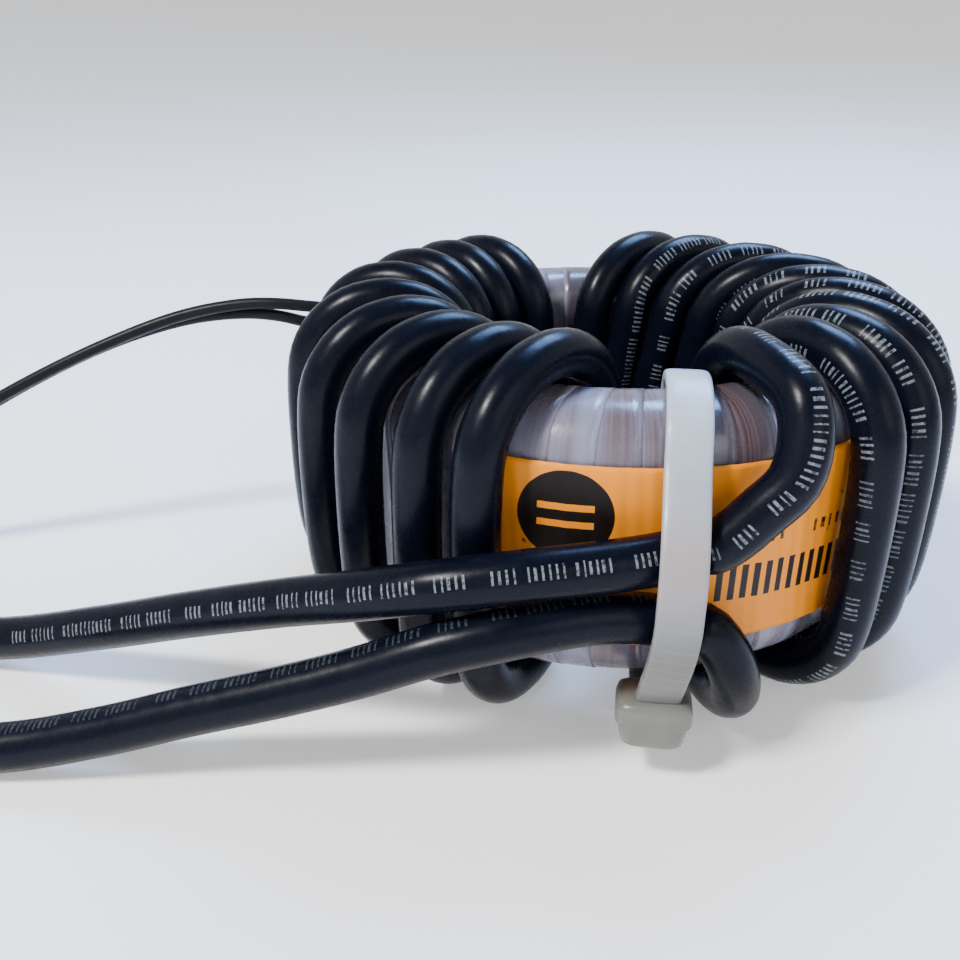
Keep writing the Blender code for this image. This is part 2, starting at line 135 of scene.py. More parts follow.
def skin_mesh(name, grid, material, rows_uv, columns_uv, wrap=(False, True), capped=True, flip=False):
    """A mesh over a grid of points, one quad a cell, wrapped round in either direction and with each
    open end of a tube closed by a fan. Its UV map holds the given row and column values."""
    rows, columns = grid.shape[:2]
    row, column = np.meshgrid(
        np.arange(rows if wrap[0] else rows - 1),
        np.arange(columns if wrap[1] else columns - 1),
        indexing="ij",
    )
    row_corners = np.stack([row, row, row + 1, row + 1], axis=-1).reshape(-1, 4)
    column_corners = np.stack([column, column + 1, column + 1, column], axis=-1).reshape(-1, 4)
    faces = (row_corners % rows) * columns + column_corners % columns
    uv = np.stack([rows_uv[row_corners], columns_uv[column_corners]], axis=-1).reshape(-1, 2)
    points = grid.reshape(-1, 3)
    faces = faces.tolist()
    if capped and not wrap[0]:
        around = np.arange(columns)
        following = (around + 1) % columns
        first = len(points)
        last_row = (rows - 1) * columns
        points = np.concatenate([points, grid[:1].mean(axis=1), grid[-1:].mean(axis=1)])
        start_fan = np.stack([np.full(columns, first), following, around], axis=1)
        end_fan = np.stack([np.full(columns, first + 1), last_row + around, last_row + following], axis=1)
        faces += start_fan.tolist() + end_fan.tolist()
        middle = np.full(columns, 0.5)
        for end, fan_columns in ((0, (middle, columns_uv[around + 1], columns_uv[around])),
                                 (-1, (middle, columns_uv[around], columns_uv[around + 1]))):
            fan_uv = np.stack([np.full((columns, 3), rows_uv[end]), np.stack(fan_columns, axis=1)], axis=-1)
            uv = np.concatenate([uv, fan_uv.reshape(-1, 2)])
    mesh = bpy.data.meshes.new(name)
    mesh.from_pydata(points.tolist(), [], faces)
    mesh.uv_layers.new(name="UVMap").data.foreach_set("uv", uv.astype(np.float32).ravel())
    if flip:
        mesh.flip_normals()
    mesh.polygons.foreach_set("use_smooth", np.ones(len(mesh.polygons), dtype=bool))
    mesh.materials.append(material)
    piece = bpy.data.objects.new(name, mesh)
    bpy.context.scene.collection.objects.link(piece)
    return piece


def belongs(piece, slot, *nodes):
    """Fix a finished piece to the part: it rides on it and stands for its CAD nodes, which it hides. The
    slot is not used.
    """
    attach(piece, ROOT)
    if nodes:
        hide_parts(*nodes)
    return piece


def round_wire(name, path, outward, diameter, sides, material, print_turn=0.0):
    """A round wire: a circle carried along the path, its radius rounded off within a short distance of
    each end. The UV map holds the length along it and the turn round it, 0.5 where its print runs."""
    along = length_along(path)
    to_end = np.minimum(along, along[-1] - along) / END_ROUNDING
    radius = diameter / 2 * (0.9 + 0.1 * np.sqrt(1.0 - (1.0 - np.clip(to_end, 0.0, 1.0)) ** 2))
    turn = np.linspace(0.0, 1.0, sides + 1) - 0.5
    angle = (turn[:-1] + np.zeros((len(path), 1))) * 2 * math.pi + np.reshape(print_turn, (-1, 1))
    grid = carry(path, outward, radius[:, None] * np.cos(angle), radius[:, None] * np.sin(angle))
    return skin_mesh(name, grid, material, along, turn + 0.5)


def add_node(tree, kind, inputs=None, **settings):
    """One shader node with its settings, and each named input linked or set."""
    made = tree.nodes.new(kind)
    for key, value in settings.items():
        setattr(made, key, value)
    for socket, value in (inputs or {}).items():
        if isinstance(value, bpy.types.NodeSocket):
            tree.links.new(value, made.inputs[socket])
        else:
            made.inputs[socket].default_value = value
    return made


def calc(tree, operation, *values):
    """The result of one Math node."""
    return add_node(tree, "ShaderNodeMath", dict(enumerate(values)), operation=operation).outputs[0]


def blend(tree, share, first, second):
    """The first colour turned into the second by a share."""
    colours = {0: share, 6: first, 7: second}
    return add_node(tree, "ShaderNodeMix", colours, data_type="RGBA").outputs[2]


def spread(tree, value, low, high, to_low=0.0, to_high=1.0):
    """A value taken from one range to another and held inside it."""
    ranges = {0: value, 1: low, 2: high, 3: to_low, 4: to_high}
    return add_node(tree, "ShaderNodeMapRange", ranges).outputs[0]


def noise(tree, place, scale, detail=2.0, roughness=0.5, dimensions="3D"):
    """Noise between 0 and 1 at a place, which is a vector or, in one dimension, a number."""
    inputs = {"W" if dimensions == "1D" else "Vector": place, "Scale": scale, "Detail": detail,
              "Roughness": roughness}
    return add_node(tree, "ShaderNodeTexNoise", inputs, noise_dimensions=dimensions).outputs[0]


def new_group(name, inputs, outputs):
    """An empty shader group with float or vector sockets, as (group, inputs node, outputs node)."""
    group = bpy.data.node_groups.new(name, "ShaderNodeTree")
    for socket, kind in inputs:
        group.interface.new_socket(socket, in_out="INPUT", socket_type=kind)
    for socket, kind in outputs:
        group.interface.new_socket(socket, in_out="OUTPUT", socket_type=kind)
    return group, group.nodes.new("NodeGroupInput"), group.nodes.new("NodeGroupOutput")


def use_group(tree, group, inputs):
    """A group placed in a material with its own values."""
    made = tree.nodes.new("ShaderNodeGroup")
    made.node_tree = group
    for socket, value in inputs.items():
        if isinstance(value, bpy.types.NodeSocket):
            tree.links.new(value, made.inputs[socket])
        else:
            made.inputs[socket].default_value = value
    return made


def new_material(name, **constants):
    """A Principled material, as (material, its node tree, the shader), with its constant values set."""
    material = bpy.data.materials.new(name)
    material.use_nodes = True
    shader = material.node_tree.nodes["Principled BSDF"]
    for socket, value in constants.items():
        shader.inputs[socket.replace("_", " ")].default_value = value
    return material, material.node_tree, shader


def surface_group():
    """The slight unevenness of a moulded or drawn surface: a slow change of tone, smears that change the
    gloss, and a fine bump."""
    group, given, out = new_group(
        "moulded surface",
        [("Place", "NodeSocketVector"), ("Size", "NodeSocketFloat"), ("Depth", "NodeSocketFloat")],
        [("Tone", "NodeSocketFloat"), ("Smears", "NodeSocketFloat"), ("Normal", "NodeSocketVector")],
    )
    place, size, depth = (given.outputs[socket] for socket in ("Place", "Size", "Depth"))
    broad = calc(group, "DIVIDE", 0.35, size)
    fine = calc(group, "DIVIDE", 2.4, size)
    tone = noise(group, place, broad, 3.0)
    smears = noise(group, place, calc(group, "MULTIPLY", broad, 2.6), 5.0, 0.65)
    grain = noise(group, place, fine, 3.0, 0.6)
    height = calc(group, "ADD", calc(group, "MULTIPLY", smears, 0.7), calc(group, "MULTIPLY", grain, 0.3))
    bump = add_node(group, "ShaderNodeBump", {"Strength": 1.0, "Distance": depth, "Height": height})
    group.links.new(tone, out.inputs["Tone"])
    group.links.new(smears, out.inputs["Smears"])
    group.links.new(bump.outputs[0], out.inputs["Normal"])
    return group


PRINT_CELL = 0.5 * MM
PRINT_HEIGHT = 1.25 * MM
CELLS_IN_CLUSTER = 7.0
WEAR_SCALE = 2600.0


def print_group():
    """A line of plain printed bars, each one cell wide with a width of its own, in clusters, with its
    ink worn through in small spots."""
    group, given, out = new_group(
        "printed bars",
        [("Along", "NodeSocketFloat"), ("Across", "NodeSocketFloat"), ("Cell", "NodeSocketFloat"),
         ("Height", "NodeSocketFloat"), ("Wear", "NodeSocketFloat")],
        [("Mask", "NodeSocketFloat")],
    )
    along, across, cell_size = (given.outputs[socket] for socket in ("Along", "Across", "Cell"))
    height, wear = (given.outputs[socket] for socket in ("Height", "Wear"))
    count = calc(group, "DIVIDE", along, cell_size)
    cell = calc(group, "FLOOR", count)
    cluster = calc(group, "FLOOR", calc(group, "DIVIDE", cell, CELLS_IN_CLUSTER))
    chance = add_node(group, "ShaderNodeTexWhiteNoise", {"W": cell}, noise_dimensions="1D").outputs[0]
    cluster_chance = add_node(group, "ShaderNodeTexWhiteNoise", {"W": cluster}, noise_dimensions="1D")
    width = spread(group, chance, 0.0, 1.0, 0.22, 0.5)
    in_bar = calc(group, "LESS_THAN", calc(group, "FRACT", count), width)
    place_in_cluster = calc(group, "MODULO", cell, CELLS_IN_CLUSTER)
    last_cell = spread(group, cluster_chance.outputs[0], 0.0, 1.0, 3.2, 6.2)
    in_cluster = calc(group, "LESS_THAN", place_in_cluster, last_cell)
    half_height = calc(group, "MULTIPLY", height, spread(group, chance, 0.0, 1.0, 0.5, 0.38))
    in_line = calc(group, "LESS_THAN", calc(group, "ABSOLUTE", across), half_height)
    place = add_node(group, "ShaderNodeCombineXYZ", {0: along, 1: across}).outputs[0]
    worn = spread(group, noise(group, place, WEAR_SCALE, 3.0, 0.7), 0.34, 0.54)
    kept = calc(group, "SUBTRACT", 1.0, calc(group, "MULTIPLY", wear, calc(group, "SUBTRACT", 1.0, worn)))
    mask = calc(group, "MULTIPLY", calc(group, "MULTIPLY", in_bar, in_cluster), in_line)
    group.links.new(calc(group, "MULTIPLY", mask, kept), out.inputs["Mask"])
    return group


moulded_surface = surface_group()
printed_bars = print_group()


NAVY_BLACK = (0.0012, 0.0018, 0.005, 1.0)
NAVY_WORN = (0.0030, 0.0045, 0.011, 1.0)
PRINT_INK = (0.25, 0.28, 0.32, 1.0)


def insulation(name, dark, light, print_strength, gloss, diameter):
    """Drawn PVC: a tone that drifts along the wire, smears in the gloss, and its line of white print."""
    material, tree, shader = new_material(name, Specular_IOR_Level=0.11)
    uv = add_node(tree, "ShaderNodeUVMap", uv_map="UVMap").outputs[0]
    along, turn, _ = add_node(tree, "ShaderNodeSeparateXYZ", {0: uv}).outputs
    place = add_node(tree, "ShaderNodeTexCoord").outputs["Object"]
    surface = use_group(tree, moulded_surface, {"Place": place, "Size": 1.2 * MM, "Depth": 0.02 * MM})
    across = calc(tree, "MULTIPLY", calc(tree, "SUBTRACT", turn, 0.5), math.pi * diameter)
    bars = use_group(tree, printed_bars, {"Along": along, "Across": across, "Cell": PRINT_CELL,
                                          "Height": PRINT_HEIGHT, "Wear": 1.0})
    tone = blend(tree, surface.outputs["Tone"], dark, light)
    printed = calc(tree, "MULTIPLY", bars.outputs["Mask"], print_strength)
    colour = blend(tree, printed, tone, PRINT_INK)
    rough = spread(tree, surface.outputs["Smears"], 0.3, 0.75, gloss, gloss + 0.14)
    tree.links.new(colour, shader.inputs["Base Color"])
    tree.links.new(rough, shader.inputs["Roughness"])
    tree.links.new(surface.outputs["Normal"], shader.inputs["Normal"])
    return material


heavy_insulation = insulation("heavy insulation", NAVY_BLACK, NAVY_WORN, 0.6, 0.22, HEAVY_WIRE)
lower_insulation = insulation(
    "heavy insulation, faded print", NAVY_BLACK, NAVY_WORN, 0.13, 0.22, HEAVY_WIRE
)

# The directions that the print faces: out and up on the upper lead, and up on the lower one.
UPPER_PRINT = np.array([0.0, -0.84, 0.54])
LOWER_PRINT = np.array([0.0, -0.10, 0.99])

heavy_leads = {}
for name, route, facing, finish in (("lead_upper", UPPER_LEAD_ROUTE, UPPER_PRINT, heavy_insulation),
                                    ("lead_lower", LOWER_LEAD_ROUTE, LOWER_PRINT, lower_insulation)):
    path = smooth_curve(route, HEAVY_STEP) + ring_middle
    outward = np.broadcast_to(facing, path.shape)
    lead = round_wire(name + "_wire", path, outward, HEAVY_WIRE, HEAVY_SIDES, finish)
    heavy_leads[name] = (belongs(lead, "heavy_insulation", name), path)


# ---------------------------------------------------------------------------------------------------
# Fine leads. Two thin stranded wires in black PVC, 1.3 mm across, crimped to the inner winding's ends
# under the tape. They come out of the tape one above the other and run off together in one long arc.
FINE_WIRE = 1.3 * MM
FINE_STEP = 0.6 * MM
FINE_SIDES = 20

FINE_LEAD_A_ROUTE = [
    (-0.0262, 0.0053, 0.0023), (-0.0262, 0.0053, 0.0044), (-0.0267, 0.0055, 0.0068),
    (-0.0281, 0.0060, 0.0088), (-0.0301, 0.0062, 0.0102), (-0.0322, 0.0059, 0.0109),
    (-0.0344, 0.0054, 0.0112), (-0.0374, 0.0048, 0.0115), (-0.0413, 0.0042, 0.0114),
    (-0.0479, 0.0028, 0.0102), (-0.0566, 0.0, 0.0071), (-0.0673, -0.0039, 0.0020),
    (-0.0780, -0.0080, -0.0044), (-0.0880, -0.0119, -0.0110), (-0.0970, -0.0152, -0.0154),
    (-0.1070, -0.0186, -0.0166), (-0.1180, -0.0216, -0.01665),
]
FINE_LEAD_B_ROUTE = [
    (-0.0256, 0.0077, 0.0023), (-0.0256, 0.0077, 0.0042), (-0.0261, 0.0078, 0.0058),
    (-0.0275, 0.0079, 0.0071), (-0.0296, 0.0079, 0.0080), (-0.0320, 0.0070, 0.0087),
    (-0.0342, 0.0059, 0.0092), (-0.0374, 0.0052, 0.0100), (-0.0413, 0.0049, 0.0102),
    (-0.0479, 0.0041, 0.0094), (-0.0569, 0.0015, 0.0067), (-0.0678, -0.0025, 0.0015),
    (-0.0785, -0.0065, -0.0051), (-0.0885, -0.0103, -0.0118), (-0.0975, -0.0132, -0.0160),
    (-0.1075, -0.0166, -0.01665), (-0.1185, -0.0194, -0.01665),
]

fine_insulation = insulation(
    "fine insulation", (0.005, 0.005, 0.007, 1.0), (0.012, 0.012, 0.015, 1.0), 0.0, 0.32, FINE_WIRE
)

fine_leads = {}
for name, route in (("fine_lead_a", FINE_LEAD_A_ROUTE), ("fine_lead_b", FINE_LEAD_B_ROUTE)):
    path = smooth_curve(route, FINE_STEP) + ring_middle
    outward = np.broadcast_to(np.array([0.0, -1.0, 0.1]), path.shape)
    lead = round_wire(name + "_wire", path, outward, FINE_WIRE, FINE_SIDES, fine_insulation)
    fine_leads[name] = (belongs(lead, "fine_insulation", name), path)


# ---------------------------------------------------------------------------------------------------
# Tinned ends. Each lead is stripped, and its bare strands are twisted and dipped in solder, which rounds
# the end off and fills most of the grooves between the strands.
HEAVY_CONDUCTOR = 2.4 * MM
HEAVY_STRIP = 8.0 * MM
FINE_CONDUCTOR = 0.6 * MM
FINE_STRIP = 5.0 * MM
GAP = 0.3 * MM
INTO_INSULATION = 0.6 * MM
END_STATIONS = 60
END_SIDES = 56
TWIST_LENGTH = 5.0
END_CLOSING = 0.4


def solder_material():
    """Tin over copper strands: bright grey metal, duller and warmer where the solder is thin."""
    material, tree, shader = new_material("tinned copper", Metallic=1.0)
    place = add_node(tree, "ShaderNodeTexCoord").outputs["Object"]
    surface = use_group(tree, moulded_surface, {"Place": place, "Size": 0.8 * MM, "Depth": 0.03 * MM})
    thin = spread(tree, surface.outputs["Smears"], 0.5, 0.72)
    colour = blend(tree, thin, (0.70, 0.70, 0.68, 1.0), (0.66, 0.52, 0.40, 1.0))
    tree.links.new(colour, shader.inputs["Base Color"])
    tree.links.new(spread(tree, surface.outputs["Tone"], 0.3, 0.7, 0.22, 0.42), shader.inputs["Roughness"])
    tree.links.new(surface.outputs["Normal"], shader.inputs["Normal"])
    return material


def tinned_end(name, tip, before_tip, diameter, strip, lobes):
    """Twisted strands: a circle whose radius rises and falls as the size of a cosine, once a strand, and
    turns along the length; it closes as a quarter ellipse at the end."""
    direction = unit(tip - before_tip)
    along = np.linspace(-INTO_INSULATION, GAP + strip, END_STATIONS)
    path = tip + along[:, None] * direction
    turn = np.linspace(0.0, 1.0, END_SIDES + 1)
    angle = turn[None, :-1] * 2 * math.pi
    twist = along[:, None] / (diameter * TWIST_LENGTH) * 2 * math.pi
    strands = 0.9 + 0.1 * np.abs(np.cos(lobes / 2 * (angle - twist)))
    closing = np.clip((along[-1] - along) / (diameter * END_CLOSING), 0.0, 1.0)
    radius = diameter / 2 * strands * np.sqrt(1.0 - (1.0 - closing[:, None]) ** 2 * 0.96)
    outward = np.broadcast_to([0.0, 0.0, 1.0], path.shape)
    grid = carry(path, outward, radius * np.cos(angle), radius * np.sin(angle))
    return skin_mesh(name, grid, tinned_copper, along, turn)


tinned_copper = solder_material()
all_leads = (
    (heavy_leads, HEAVY_CONDUCTOR, HEAVY_STRIP, 9, HEAVY_WIRE, "stiff"),
    (fine_leads, FINE_CONDUCTOR, FINE_STRIP, 7, FINE_WIRE, "medium"),
)
for leads, conductor, strip, lobes, diameter, stiffness in all_leads:
    for name, (lead, path) in leads.items():
        end = tinned_end(name + "_strands", path[-1], path[-2], conductor, strip, lobes)
        belongs(end, "tinned_copper", name + "_tinned_end")


# ---------------------------------------------------------------------------------------------------
# Heavy winding. The same wire, wound once round the ring in nineteen turns: from under the tie up the
# bore, down the left side in nine turns, on round the back in ten, and out over the front to the tie.
RING_OUTER = 28.0 * MM
RING_INNER = 18.2 * MM
RING_HALF = 12.6 * MM
LOOP_INNER = RING_INNER - 3.0 * MM
LOOP_OUTER = RING_OUTER + 2.9 * MM
LOOP_HALF = RING_HALF + 2.7 * MM
OUTER_BEND = 8.0 * MM
INNER_BEND = 7.2 * MM
BEND_STATIONS = 5

LEFT_TURNS = 9
RIGHT_TURNS = 10
LEFT_BORE_FIRST = -2.0
LEFT_BORE_STEP = -17.9
RIGHT_BORE_FIRST = 36.0
RIGHT_BORE_STEP = 17.0
LEFT_BORE_SLANT = 7.0
RIGHT_BORE_SLANT = 9.0
LEFT_OUTSIDE = [-18.0, -28.5, -42.0, -57.0, -75.0, -95.0, -113.0, -126.0, -135.0]
RIGHT_OUTSIDE = [28.0, 45.0, 57.0, 70.0, 84.0, 98.0, 113.0, 130.5, 149.0, 163.0]

# Radius and height in metres, azimuth in degrees from the front.
START_RUN = [
    (0.0309, 14.45, -0.0040), (0.0309, 16.8, -0.00435), (0.0311, 19.6, -0.0061), (0.0312, 21.8, -0.0084),
    (0.0300, 24.2, -0.0118), (0.0272, 26.0, -0.0144), (0.0235, 27.3, -0.0154), (0.0194, 28.0, -0.0151),
    (0.0160, 28.0, -0.0126), (0.0142, 27.5, -0.0086), (0.0132, 21.0, -0.0030), (0.0132, 9.0, 0.0025),
]
END_RUN = [
    (0.0292, 29.4, 0.0142), (0.0312, 28.4, 0.0114), (0.0319, 26.4, 0.0085), (0.0315, 22.6, 0.0061),
    (0.0312, 19.6, 0.0043), (0.0309, 16.8, 0.00305), (0.0309, 14.45, 0.00285),
]

# How far the print has turned round the wire from facing away from the ring, in degrees, at each turn
# in winding order. It faces inwards all the way down the left side.
LEFT_PRINT_TURNS = [150.0] * LEFT_TURNS
RIGHT_PRINT_TURNS = [0.0, 130.0, 15.0, 5.0, 30.0, 25.0, 100.0, 25.0, 40.0, 110.0]


def arc(centre_r, centre_z, radius, start, end, count=BEND_STATIONS):
    """Stations along an arc in the (radius, height) plane."""
    angles = np.radians(np.linspace(start, end, count))
    return np.stack([centre_r + radius * np.cos(angles), centre_z + radius * np.sin(angles)], axis=1)


def smooth_step(t):
    """The cubic 3t^2 - 2t^3, which eases from 0 to 1."""
    t = np.clip(t, 0.0, 1.0)
    return t * t * (3.0 - 2.0 * t)


def half_turn(section, start, end):
    """A half turn that runs straight in plan from one azimuth at its start to another at its end."""
    first, last = section[0, 0], section[-1, 0]
    share = (section[:, 0] - first) / (last - first)
    angle = math.radians(end - start)
    forward = (1.0 - share) * first + share * last * math.cos(angle)
    sideways = share * last * math.sin(angle)
    azimuth = start + np.degrees(np.arctan2(sideways, forward))
    return np.stack([np.hypot(forward, sideways), azimuth, section[:, 1]], axis=1)


def turn_table():
    """(azimuth at the bore's bottom, at its top, on the outside) of every turn, in winding order."""
    table = []
    for index in range(LEFT_TURNS):
        top = LEFT_BORE_FIRST + LEFT_BORE_STEP * index
        table.append((top + LEFT_BORE_SLANT, top, LEFT_OUTSIDE[index]))
    for index in reversed(range(RIGHT_TURNS)):
        top = RIGHT_BORE_FIRST + RIGHT_BORE_STEP * index - 360.0
        table.append((top + RIGHT_BORE_SLANT, top, RIGHT_OUTSIDE[index] - 360.0))
    return table


def heavy_route():
    """The whole winding as (radius, azimuth, height): each turn rises out of the bore, bends over the
    top, runs down the outside and bends back under, on quarter circles joined by straight stretches."""
    over = np.concatenate([
        arc(LOOP_INNER + INNER_BEND, LOOP_HALF - INNER_BEND, INNER_BEND, 180, 90),
        arc(LOOP_OUTER - OUTER_BEND, LOOP_HALF - OUTER_BEND, OUTER_BEND, 90, 0),
    ])
    under = over[::-1] * [1.0, -1.0]
    table = turn_table()
    route = [np.array(START_RUN)]
    for (_, top, outside), (next_bottom, _, _) in zip(table[:-1], table[1:]):
        route.append(half_turn(over, top, outside))
        route.append(half_turn(under, outside, next_bottom))
    route.append(half_turn(over, table[-1][1], table[-1][2])[:BEND_STATIONS + 1])
    route.append(np.array(END_RUN) - [0.0, 360.0, 0.0])
    return np.concatenate(route)


def from_ring(route):
    """(radius, azimuth, height) to X, Y, Z in the part's frame."""
    angle = np.radians(route[:, 1])
    flat = np.stack([route[:, 0] * np.sin(angle), -route[:, 0] * np.cos(angle), route[:, 2]], axis=1)
    return flat + ring_middle


def away_from_ring(path):
    """The direction from the middle of the ring's section to each point of a path round it."""
    from_axis = path - ring_middle
    radial = unit(from_axis * [1.0, 1.0, 0.0])
    return from_axis - radial * (RING_OUTER + RING_INNER) / 2


winding_path = smooth_curve(from_ring(heavy_route()), HEAVY_STEP)
winding_along = length_along(winding_path)
print_turns = LEFT_PRINT_TURNS + RIGHT_PRINT_TURNS[::-1]
turn_number = winding_along / winding_along[-1] * len(print_turns)
print_angle = np.radians(np.interp(turn_number, np.arange(len(print_turns)) + 0.5, print_turns))
heavy_winding = round_wire(
    "heavy_winding_wire", winding_path, away_from_ring(winding_path), HEAVY_WIRE, HEAVY_SIDES,
    heavy_insulation, print_angle,
)
belongs(heavy_winding, "heavy_insulation", "heavy_winding")


# ---------------------------------------------------------------------------------------------------
# Tape. One long strip of clear lilac film wound round and round the ring's section, each turn lapped
# half over the last like shingles. The fine copper turns under it show through as reddish lines.
TAPE_WIDTH = 5.4 * MM
TAPE_TURNS = 46
TAPE_START = -78.0
TAPE_LAP = 0.06 * MM
TAPE_FILM = 0.03 * MM
TAPE_BASE = 0.10 * MM
TAPE_OVERRUN = 1.5
TAPE_STATIONS = 72
TAPE_COLUMNS = 7
OUTER_EDGE = 4.8 * MM
INNER_EDGE = 3.6 * MM
EDGE_STATIONS = 12

FILM_THIN = (0.070, 0.062, 0.082, 1.0)
FILM_DOUBLED = (0.23, 0.24, 0.33, 1.0)
FILM_LAP_EDGE = (0.33, 0.34, 0.43, 1.0)
COPPER_DARK = (0.070, 0.032, 0.032, 1.0)
COPPER_LIGHT = (0.14, 0.098, 0.11, 1.0)
# Round the back, between these azimuths, the brown-red lines are thinned out.
FEW_LINES_MIDDLE = 195.0
FEW_LINES_HALF_WIDTH = 35.0


def ring_section(depth, stations):
    """The ring's rounded section set in by a depth, as even (radius, height) places and the outward
    direction at each, starting in the bore and going over the top."""
    outer, outer_z = RING_OUTER - OUTER_EDGE, RING_HALF - OUTER_EDGE
    inner, inner_z = RING_INNER + INNER_EDGE, RING_HALF - INNER_EDGE
    outline = np.concatenate([
        [(RING_INNER + depth, 0.0)],
        arc(inner, inner_z, INNER_EDGE - depth, 180, 90, EDGE_STATIONS),
        arc(outer, outer_z, OUTER_EDGE - depth, 90, 0, EDGE_STATIONS),
        arc(outer, -outer_z, OUTER_EDGE - depth, 0, -90, EDGE_STATIONS),
        arc(inner, -inner_z, INNER_EDGE - depth, -90, -180, EDGE_STATIONS),
        [(RING_INNER + depth, 0.0)],
    ])
    along = length_along(outline)
    even = np.linspace(0.0, along[-1], stations, endpoint=False)
    places = np.stack([np.interp(even, along, column) for column in outline.T], axis=1)
    tangent = unit(np.roll(places, -1, axis=0) - np.roll(places, 1, axis=0))
    return places, np.stack([-tangent[:, 1], tangent[:, 0]], axis=1)


def tape_strip():
    """The strip as a grid of (station along it, column across it). A station's place on the section
    repeats every turn while its azimuth creeps on by one pitch a turn, with a slow wobble; a column's
    azimuth is its distance across over the local radius, and it stands off the ring by one lap for
    each pitch from the strip's leading edge, so that neighbouring turns never touch."""
    places, outward = ring_section(TAPE_BASE, TAPE_STATIONS)
    stations = np.arange(int((TAPE_TURNS + TAPE_OVERRUN) * TAPE_STATIONS))
    turns = stations / TAPE_STATIONS
    radius, height = places[stations % TAPE_STATIONS].T
    normal = outward[stations % TAPE_STATIONS]
    pitch = 360.0 / TAPE_TURNS
    wobble = 0.8 * np.sin(1.9 * turns) + 0.6 * np.sin(4.7 * turns + 1.0)
    across = np.linspace(0.0, 1.0, TAPE_COLUMNS)
    width_angle = np.degrees(TAPE_WIDTH / radius)[:, None] * across
    azimuth = TAPE_START + (turns * pitch + wobble)[:, None] + width_angle
    closing = 2.6 * smooth_step((turns - TAPE_TURNS + 2.2) / 2.0)
    lift = TAPE_LAP * (width_angle / pitch + closing[:, None])
    lifted = np.stack([radius[:, None] + lift * normal[:, :1], azimuth,
                       height[:, None] + lift * normal[:, 1:]], axis=-1)
    return from_ring(lifted.reshape(-1, 3)).reshape(lifted.shape), turns, across, azimuth


def tape_material():
    """Lilac film over copper, each lap with a tone of its own. Brown-red in fine lines along the turns of
    copper where it lies close, with few of these lines round the back, glossy with slight wrinkles."""
    material, tree, shader = new_material("tape film", Specular_IOR_Level=0.6)
    uv = add_node(tree, "ShaderNodeUVMap", uv_map="UVMap").outputs[0]
    turns, across, _ = add_node(tree, "ShaderNodeSeparateXYZ", {0: uv}).outputs
    azimuth = add_node(tree, "ShaderNodeAttribute", attribute_name="azimuth").outputs["Fac"]
    place = add_node(tree, "ShaderNodeTexCoord").outputs["Object"]
    surface = use_group(tree, moulded_surface, {"Place": place, "Size": 2.0 * MM, "Depth": 0.05 * MM})
    threads = spread(tree, noise(tree, azimuth, 1.5, 3.0, 0.6, "1D"), 0.40, 0.62)
    patches = spread(tree, noise(tree, azimuth, 0.19, 1.0, 0.5, "1D"), 0.40, 0.58)
    round_back = calc(tree, "COMPARE", azimuth, FEW_LINES_MIDDLE, FEW_LINES_HALF_WIDTH)
    close = spread(tree, surface.outputs["Tone"], 0.30, 0.60, 0.55, 1.0)
    contact = calc(tree, "MULTIPLY", calc(tree, "MULTIPLY", patches, close),
                   spread(tree, round_back, 0.0, 1.0, 1.0, 0.15))
    lap = calc(tree, "FLOOR", turns)
    lap_tone = add_node(tree, "ShaderNodeTexWhiteNoise", {"W": lap}, noise_dimensions="1D").outputs[0]
    film = blend(tree, spread(tree, lap_tone, 0.2, 0.8), FILM_THIN, FILM_DOUBLED)
    lap_edge = spread(tree, across, 0.90, 0.97)
    film = blend(tree, calc(tree, "MULTIPLY", lap_edge, 0.55), film, FILM_LAP_EDGE)
    copper = blend(tree, threads, COPPER_DARK, COPPER_LIGHT)
    colour = blend(tree, calc(tree, "MULTIPLY", contact, 0.75), film, copper)
    tree.links.new(colour, shader.inputs["Base Color"])
    tree.links.new(spread(tree, surface.outputs["Smears"], 0.3, 0.7, 0.16, 0.34), shader.inputs["Roughness"])
    tree.links.new(surface.outputs["Normal"], shader.inputs["Normal"])
    return material


tape_grid, tape_turns, tape_across, tape_azimuth = tape_strip()
tape = skin_mesh("tape_strip", tape_grid, tape_material(), tape_turns, tape_across,
                 wrap=(False, False), capped=False)
tape.data.attributes.new("azimuth", "FLOAT", "POINT").data.foreach_set(
    "value", tape_azimuth.astype(np.float32).ravel())
tape_film = tape.modifiers.new("Film", "SOLIDIFY")
tape_film.thickness = TAPE_FILM
tape_film.offset = -1.0
belongs(tape, "tape_film", "tape_wrap")


# ---------------------------------------------------------------------------------------------------
# Label. A strip of orange film stuck to the front of the tape, with a black disc and dark print as plain
# bars. It has a few specks of dirt and slight ripples where the laps of tape lie under it.
LABEL_RADIUS = 28.32 * MM
LABEL_FILM = 0.12 * MM
LABEL_START = -16.5
LABEL_END = 61.0
LABEL_BOTTOM = -7.4 * MM
LABEL_TOP = 8.7 * MM
LABEL_COLUMNS = 240
LABEL_ROWS = 40
DISC_AZIMUTH = -5.4
DISC_HEIGHT = 4.3 * MM
DISC_RADIUS = 3.9 * MM
NUMBER_AZIMUTH = 13.0
NUMBER_HEIGHT = -1.9 * MM
NUMBER_LENGTH = 18.0 * MM
NUMBER_CELL = 1.15 * MM
NUMBER_STROKE = 0.52
NUMBER_HALF_HEIGHT = 1.6 * MM
NUMBER_SLOPE = -0.02
SMALL_HEIGHT = 2.1 * MM
SMALL_CELL = 0.9 * MM
FOOT_HEIGHT = -6.3 * MM
FOOT_AZIMUTH = 2.0
FOOT_HALF_LENGTH = 6.5 * MM
BAR_FROM_MIDDLE = 0.75 * MM
BAR_HALF_WIDTH = 0.3 * MM
BAR_HALF_LENGTH = 2.3 * MM

